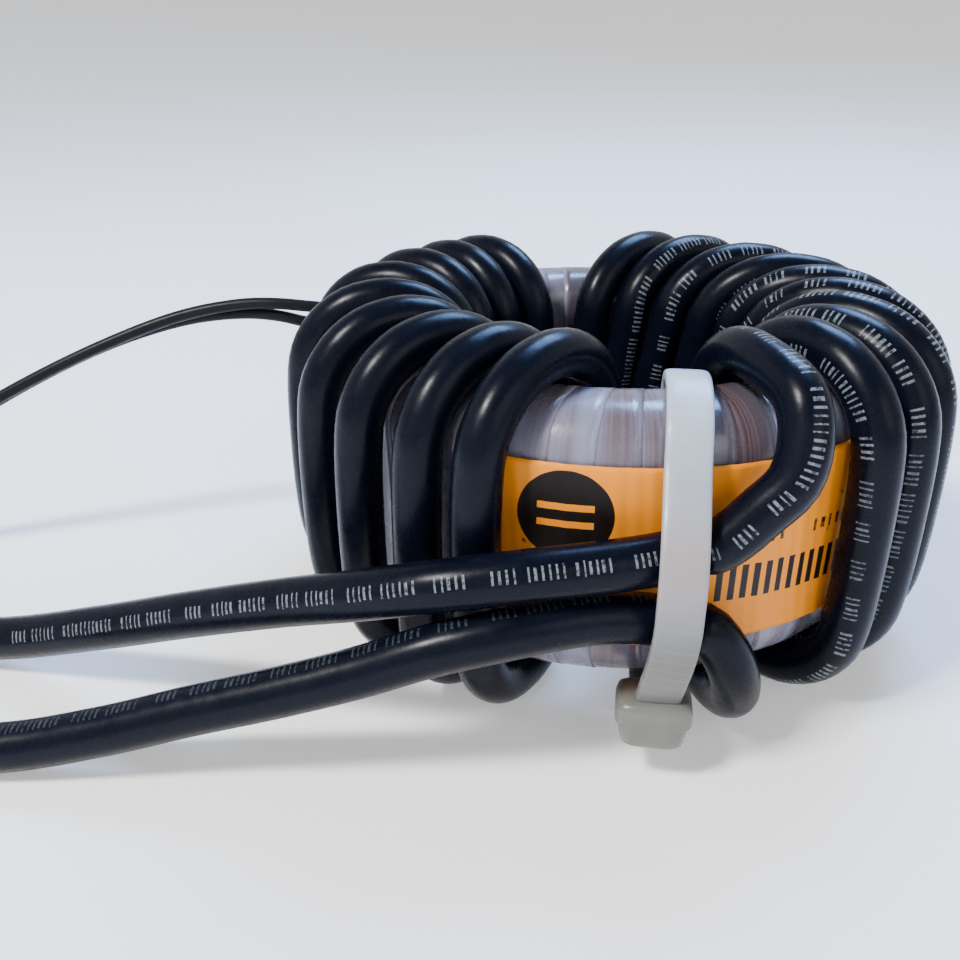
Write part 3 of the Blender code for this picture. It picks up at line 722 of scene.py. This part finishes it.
ORANGE = (0.80, 0.235, 0.004, 1.0)
ORANGE_LIGHT = (0.94, 0.300, 0.006, 1.0)
LABEL_INK = (0.008, 0.005, 0.004, 1.0)


def arc_length(azimuth):
    """The length round the label from the front to an azimuth."""
    return math.radians(azimuth) * LABEL_RADIUS


def label_material():
    """Orange film with its print. The UV map holds the length round the ring and the height, and each
    mark is a plain disc or a row of bars drawn from those two."""
    material, tree, shader = new_material("label film", Specular_IOR_Level=0.22)
    uv = add_node(tree, "ShaderNodeUVMap", uv_map="UVMap").outputs[0]
    around, height, _ = add_node(tree, "ShaderNodeSeparateXYZ", {0: uv}).outputs
    place = add_node(tree, "ShaderNodeTexCoord").outputs["Object"]
    surface = use_group(tree, moulded_surface, {"Place": place, "Size": 2.5 * MM, "Depth": 0.03 * MM})
    paper = blend(tree, surface.outputs["Tone"], ORANGE, ORANGE_LIGHT)

    disc_x = calc(tree, "SUBTRACT", around, arc_length(DISC_AZIMUTH))
    disc_y = calc(tree, "SUBTRACT", height, DISC_HEIGHT)
    squares = calc(tree, "ADD", calc(tree, "MULTIPLY", disc_x, disc_x),
                   calc(tree, "MULTIPLY", disc_y, disc_y))
    from_disc = calc(tree, "SQRT", squares)
    in_disc = calc(tree, "LESS_THAN", from_disc, DISC_RADIUS)
    from_middle = calc(tree, "ABSOLUTE", disc_y)
    in_bars = calc(tree, "COMPARE", from_middle, BAR_FROM_MIDDLE, BAR_HALF_WIDTH)
    short = calc(tree, "LESS_THAN", calc(tree, "ABSOLUTE", disc_x), BAR_HALF_LENGTH)
    bars = calc(tree, "MULTIPLY", in_bars, short)
    disc = calc(tree, "MULTIPLY", in_disc, calc(tree, "SUBTRACT", 1.0, bars))

    from_number = calc(tree, "SUBTRACT", around, arc_length(NUMBER_AZIMUTH))
    above_line = calc(tree, "SUBTRACT", height, calc(tree, "MULTIPLY", from_number, NUMBER_SLOPE))
    stroke = calc(tree, "FRACT", calc(tree, "DIVIDE", from_number, NUMBER_CELL))
    in_stroke = calc(tree, "LESS_THAN", stroke, NUMBER_STROKE)
    in_row = calc(tree, "COMPARE", above_line, NUMBER_HEIGHT, NUMBER_HALF_HEIGHT)
    above_small = calc(tree, "SUBTRACT", above_line, SMALL_HEIGHT)
    small = use_group(tree, printed_bars, {"Along": from_number, "Across": above_small,
                                           "Cell": SMALL_CELL, "Height": 1.3 * MM, "Wear": 0.5})
    above_foot = calc(tree, "SUBTRACT", height, FOOT_HEIGHT)
    foot = use_group(tree, printed_bars, {"Along": around, "Across": above_foot,
                                          "Cell": SMALL_CELL, "Height": 1.1 * MM, "Wear": 0.5})
    beside_tie = calc(tree, "COMPARE", from_number, NUMBER_LENGTH / 2, NUMBER_LENGTH / 2)
    large = calc(tree, "MULTIPLY", in_stroke, in_row)
    numbers = calc(tree, "MULTIPLY", beside_tie, calc(tree, "MAXIMUM", large, small.outputs["Mask"]))
    near_middle = calc(tree, "COMPARE", around, arc_length(FOOT_AZIMUTH), FOOT_HALF_LENGTH)
    feet = calc(tree, "MULTIPLY", foot.outputs["Mask"], near_middle)
    specks = spread(tree, noise(tree, place, 900.0, 2.0, 0.4), 0.73, 0.76, 0.0, 0.8)
    ink = calc(tree, "MAXIMUM", calc(tree, "MAXIMUM", disc, numbers), calc(tree, "MAXIMUM", feet, specks))
    colour = blend(tree, ink, paper, LABEL_INK)
    tree.links.new(colour, shader.inputs["Base Color"])
    tree.links.new(spread(tree, surface.outputs["Smears"], 0.3, 0.7, 0.38, 0.55), shader.inputs["Roughness"])
    tree.links.new(surface.outputs["Normal"], shader.inputs["Normal"])
    return material


def label_sheet():
    """The label: a part of a cylinder whose radius ripples by a few hundredths of a millimetre with the
    azimuth, and whose top edge sinks in with the ring's rounded edge."""
    azimuth = np.linspace(LABEL_START, LABEL_END, LABEL_COLUMNS)[:, None]
    height = np.linspace(LABEL_BOTTOM, LABEL_TOP, LABEL_ROWS)[None, :]
    ripple = 0.025 * MM * np.sin(azimuth * 0.92) + 0.02 * MM * np.sin(azimuth * 2.3 + height / MM * 0.25)
    over_edge = np.clip(np.abs(height) - (RING_HALF - OUTER_EDGE), 0.0, None)
    radius = LABEL_RADIUS + ripple - over_edge ** 2 / (2 * OUTER_EDGE)
    grid = np.stack(np.broadcast_arrays(radius, azimuth, height), axis=-1)
    lengths = np.radians(azimuth[:, 0]) * LABEL_RADIUS
    placed = from_ring(grid.reshape(-1, 3)).reshape(grid.shape)
    return skin_mesh("label_sheet", placed, label_material(), lengths, height[0],
                     wrap=(False, False), capped=False, flip=True)


label = label_sheet()
label_film = label.modifiers.new("Film", "SOLIDIFY")
label_film.thickness = LABEL_FILM
label_film.offset = 1.0
belongs(label, "label_film", "label")


# ---------------------------------------------------------------------------------------------------
# Cable tie. One nylon moulding: a strap with teeth on its inner face, drawn tight round the ring and both
# leads, through the head, and trimmed off just below it.
TIE_X = 5.3 * MM
TIE_LEAN = 1.1 * MM
TIE_LEAN_FOOT = -13.0 * MM
TIE_LEAN_RISE = 12.0 * MM
TIE_WIDTH = 3.6 * MM
TIE_THICKNESS = 1.1 * MM
TOOTH_PITCH = 1.0 * MM
TOOTH_DEPTH = 0.16 * MM
STRAP_STEP = 0.1 * MM
STRAP_SIDES = 28
TIE_HEAD_MIDDLE = np.array([TIE_X, -31.5 * MM, -11.9 * MM])
TIE_ROUTE = [
    (-15.35, 0.0), (-15.35, 5.0), (-15.5, 9.0), (-17.2, 12.3), (-21.0, 13.6), (-24.3, 13.3), (-27.0, 11.7),
    (-28.9, 8.9), (-32.0, 5.8), (-33.9, 2.8), (-34.2, -0.6), (-34.0, -4.2), (-33.2, -7.2), (-32.1, -10.0),
    (-30.7, -12.2), (-28.2, -13.4), (-24.6, -13.8), (-21.0, -13.6), (-17.2, -12.3), (-15.5, -9.0),
    (-15.35, -5.0),
]
# The head's half width, half depth and height from its middle, from the foot up, in millimetres.
HEAD_ROWS = [
    (1.5, 1.1, -2.3), (2.0, 1.6, -2.15), (2.5, 2.1, -1.6), (2.7, 2.2, -0.8), (2.8, 2.25, 0.0),
    (2.85, 2.25, 0.25), (3.1, 2.3, 0.35), (3.1, 2.3, 1.4), (2.95, 2.2, 1.95), (2.6, 1.9, 2.2),
    (2.2, 1.5, 2.3),
]
TAIL_ROWS = [(1.75, 0.5, -2.6), (1.8, 0.55, -2.5), (1.8, 0.55, -1.0)]
BLOCK_SIDES = 48
CORNER_POWER = 5.0

# Painted light and shade: the low colour is painted shade at the head, the high colour painted cool light at
# the top of the strap, and the colour over the label a painted orange glow from the label behind it.
NYLON_LOW_PAINTED_SHADE = (0.120, 0.118, 0.100, 1.0)
NYLON_HIGH_PAINTED_LIGHT = (0.46, 0.54, 0.64, 1.0)
NYLON_PAINTED_LABEL_GLOW = (0.40, 0.25, 0.21, 1.0)
NYLON_SHADE = (0.22, 0.22, 0.24, 1.0)
NYLON_TOOTH = (0.30, 0.30, 0.28, 1.0)


def rounded_rectangle(half_width, half_height, turn):
    """Places round a superellipse: cosine and sine, each raised to 2 / CORNER_POWER with its sign kept."""
    cosine, sine = np.cos(2 * math.pi * turn), np.sin(2 * math.pi * turn)
    return (half_width * np.sign(cosine) * np.abs(cosine) ** (2 / CORNER_POWER),
            half_height * np.sign(sine) * np.abs(sine) ** (2 / CORNER_POWER))


def tie_loop():
    """The strap's middle line: a closed smooth loop in (Y, Z), leaning sideways with its height."""
    route = np.array(TIE_ROUTE) * MM
    curve = smooth_curve(np.concatenate([route[-3:], route, route[:4]]), STRAP_STEP)
    half = len(curve) // 2
    first = np.argmin(np.linalg.norm(curve[:half] - route[0], axis=1))
    last = half + np.argmin(np.linalg.norm(curve[half:] - route[0], axis=1))
    y, z = curve[first:last].T
    lean = TIE_LEAN * smooth_step((z - TIE_LEAN_FOOT) / TIE_LEAN_RISE)
    return np.stack([TIE_X + lean, y, z], axis=1) + ring_middle


def strap_mesh(material):
    """A rounded rectangle carried round the loop. Its inner face is pressed in by a saw-tooth wave of the
    length along it, in the middle of its width."""
    path = tie_loop()
    along = np.concatenate([length_along(path), [0.0]])
    along[-1] = along[-2] + np.linalg.norm(path[0] - path[-1])
    turn = np.linspace(0.0, 1.0, STRAP_SIDES + 1)
    beside, across = rounded_rectangle(TIE_WIDTH / 2, TIE_THICKNESS / 2, turn[:-1])
    teeth = (along[:-1] / TOOTH_PITCH) % 1.0
    inner = (across < -0.3 * TIE_THICKNESS) & (np.abs(beside) < 0.32 * TIE_WIDTH)
    thickness = across[None, :] + TOOTH_DEPTH * teeth[:, None] * inner[None, :]
    from_middle = path - ring_middle - [0.0, -(RING_OUTER + RING_INNER) / 2, 0.0]
    outward = from_middle * [0.0, 1.0, 1.0]
    grid = carry(path, outward, thickness, np.broadcast_to(beside, thickness.shape), closed=True)
    return skin_mesh("cable_tie_strap", grid, material, along, turn, wrap=(True, True))


def upright_block(name, rows, middle, material):
    """A block of rounded rectangles stacked from its foot up, closed at both ends."""
    rows = np.array(rows) * MM
    turn = np.linspace(0.0, 1.0, BLOCK_SIDES + 1)
    x, y = rounded_rectangle(1.0, 1.0, turn[:-1])
    grid = np.stack(np.broadcast_arrays(rows[:, :1] * x, rows[:, 1:2] * y, rows[:, 2:]), axis=-1)
    return skin_mesh(name, grid + ring_middle + middle, material, np.zeros(len(rows)), turn)


def nylon_material():
    """Natural nylon with painted light: a painted cool white light at the top of the strap, a painted orange
    glow from the label behind it, painted shade darker and yellower at the head, and faint lines where the
    teeth show through."""
    material, tree, shader = new_material(
        "nylon", Specular_IOR_Level=0.5, Subsurface_Weight=0.1, Subsurface_Scale=0.002)
    shader.inputs["Subsurface Radius"].default_value = (1.0, 0.9, 0.7)
    place = add_node(tree, "ShaderNodeTexCoord").outputs["Object"]
    height = add_node(tree, "ShaderNodeSeparateXYZ", {0: place}).outputs[2]
    surface = use_group(tree, moulded_surface, {"Place": place, "Size": 1.5 * MM, "Depth": 0.02 * MM})
    uv = add_node(tree, "ShaderNodeUVMap", uv_map="UVMap").outputs[0]
    along = add_node(tree, "ShaderNodeSeparateXYZ", {0: uv}).outputs[0]
    tooth = calc(tree, "FRACT", calc(tree, "DIVIDE", along, TOOTH_PITCH))
    tooth_line = spread(tree, tooth, 0.8, 1.0, 0.0, 0.22)
    # Painted light and shade over the strap's height: darker towards the head, a cool lit white towards the
    # top.
    painted_light_level = spread(tree, height, 13.0 * MM, 31.0 * MM)
    body = blend(tree, painted_light_level, NYLON_LOW_PAINTED_SHADE, NYLON_HIGH_PAINTED_LIGHT)
    # Painted glow: the strap takes on the label's orange where it lies in front of the label.
    painted_label_glow = calc(tree, "MULTIPLY", spread(tree, height, 15.0 * MM, 20.0 * MM),
                      spread(tree, height, 27.0 * MM, 22.0 * MM))
    with_label_glow = blend(tree, calc(tree, "MULTIPLY", painted_label_glow, 0.4), body, NYLON_PAINTED_LABEL_GLOW)
    shade = spread(tree, surface.outputs["Tone"], 0.3, 0.7, 0.0, 0.25)
    toned = blend(tree, shade, with_label_glow, NYLON_SHADE)
    colour = blend(tree, tooth_line, toned, NYLON_TOOTH)
    tree.links.new(colour, shader.inputs["Base Color"])
    tree.links.new(spread(tree, surface.outputs["Smears"], 0.3, 0.7, 0.26, 0.40), shader.inputs["Roughness"])
    tree.links.new(surface.outputs["Normal"], shader.inputs["Normal"])
    return material


def one_body(piece, *others):
    """Unite closed bodies into one mesh on the first, and remove the rest."""
    for other in others:
        union = piece.modifiers.new("Union", "BOOLEAN")
        union.operation = "UNION"
        union.solver = "EXACT"
        union.object = other
    bpy.context.view_layer.update()
    united = bpy.data.meshes.new_from_object(piece.evaluated_get(bpy.context.evaluated_depsgraph_get()))
    piece.modifiers.clear()
    piece.data = united
    for other in others:
        bpy.data.objects.remove(other, do_unlink=True)
    return piece


nylon = nylon_material()
tie_head = upright_block("cable_tie_head", HEAD_ROWS, TIE_HEAD_MIDDLE, nylon)
tie_tail = upright_block("cable_tie_tail", TAIL_ROWS, TIE_HEAD_MIDDLE, nylon)
cable_tie = one_body(strap_mesh(nylon), tie_head, tie_tail)
cable_tie.name = "cable_tie_moulding"
cable_tie.data.set_sharp_from_angle(angle=math.radians(50))
belongs(cable_tie, "nylon", "cable_tie")


# ---------------------------------------------------------------------------------------------------
# Core, inner winding and splices. They lie under the tape: a ring of pressed iron powder with a painted
# coat, the close fine turns of varnished copper, and a plated crimp on each end of that winding.
def hidden_material(name, low, high, metallic, roughness, scale):
    """A plain finish for a piece under the tape, with its grain as a change of tone and a bump."""
    material, tree, shader = new_material(name, Metallic=metallic, Roughness=roughness)
    place = add_node(tree, "ShaderNodeTexCoord").outputs["Object"]
    surface = use_group(tree, moulded_surface, {"Place": place, "Size": scale, "Depth": 0.04 * MM})
    tree.links.new(blend(tree, surface.outputs["Tone"], low, high), shader.inputs["Base Color"])
    tree.links.new(surface.outputs["Normal"], shader.inputs["Normal"])
    return material


hidden_finishes = {
    "core": hidden_material(
        "core coating", (0.60, 0.48, 0.08, 1.0), (0.78, 0.66, 0.15, 1.0), 0.0, 0.6, 1.0 * MM),
    "inner_winding": hidden_material(
        "enamelled copper", (0.32, 0.10, 0.04, 1.0), (0.52, 0.19, 0.08, 1.0), 0.8, 0.3, 0.5 * MM),
    "splice_sleeve_a": hidden_material(
        "plated crimp", (0.60, 0.59, 0.57, 1.0), (0.78, 0.77, 0.75, 1.0), 1.0, 0.35, 0.6 * MM),
}
hidden_finishes["splice_sleeve_b"] = hidden_finishes["splice_sleeve_a"]
for name, finish in hidden_finishes.items():
    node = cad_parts[name]
    node.data.materials.clear()
    node.data.materials.append(finish)


# ---------------------------------------------------------------------------------------------------
# Floor and light. A plain pale dish that glows a little: flat under the part, turned up slowly so that it
# has no horizon. A white light from the front left, a blue one from behind, a weak one from the right.
FLOOR_FLAT = 0.32
FLOOR_RISE = 2.5
FLOOR_PALE = (0.93, 0.93, 0.93, 1.0)
FLOOR_GLOW = 0.36
SURROUND = 0.22
WHITE = (1.0, 1.0, 1.0, 1.0)
# Each light's name, place, size, power and colour.
LIGHTS = [
    ("key", (-0.24, -0.22, 0.42), 0.09, 4.3, (1.0, 0.99, 0.97)),
    ("back", (0.12, 0.30, 0.42), 0.22, 4.6, (0.28, 0.50, 1.0)),
    ("fill", (0.35, -0.35, 0.30), 0.30, 0.5, (1.0, 0.98, 0.96)),
]


def floor_dish(material):
    """A flat disc with a quarter circle turned up at its rim, as a surface of revolution."""
    rise = np.linspace(0.0, math.pi / 2, 24)
    radius = np.concatenate([[0.00001, 0.1, 0.2], FLOOR_FLAT + FLOOR_RISE * np.sin(rise)])
    height = np.concatenate([[0.0, 0.0, 0.0], FLOOR_RISE * (1.0 - np.cos(rise))])
    turn = np.linspace(0.0, 1.0, 97)
    angle = turn[:-1] * 2 * math.pi
    grid = np.stack([radius[:, None] * np.cos(angle), radius[:, None] * np.sin(angle),
                     np.broadcast_to(height[:, None], (len(radius), len(angle)))], axis=-1)
    return skin_mesh("floor", grid, material, radius, turn, capped=False, flip=True)


def area_light(name, place, size, energy, colour):
    """A square light that faces the ring's middle."""
    data = bpy.data.lights.new(name, "AREA")
    data.size = size
    data.energy = energy
    data.color = colour
    light = bpy.data.objects.new(name, data)
    light.location = Vector(place)
    light.rotation_euler = (Vector(ring_middle) - light.location).to_track_quat("-Z", "Y").to_euler()
    bpy.context.scene.collection.objects.link(light)


floor_material, _, floor_shader = new_material("pale floor", Roughness=0.9, Specular_IOR_Level=0.1)
floor_shader.inputs["Base Color"].default_value = FLOOR_PALE
floor_shader.inputs["Emission Color"].default_value = WHITE
floor_shader.inputs["Emission Strength"].default_value = FLOOR_GLOW
floor_dish(floor_material)

for light in LIGHTS:
    area_light(*light)

world = bpy.data.worlds.new("surround")
world.use_nodes = True
world.node_tree.nodes["Background"].inputs["Color"].default_value = WHITE
world.node_tree.nodes["Background"].inputs["Strength"].default_value = SURROUND
bpy.context.scene.world = world
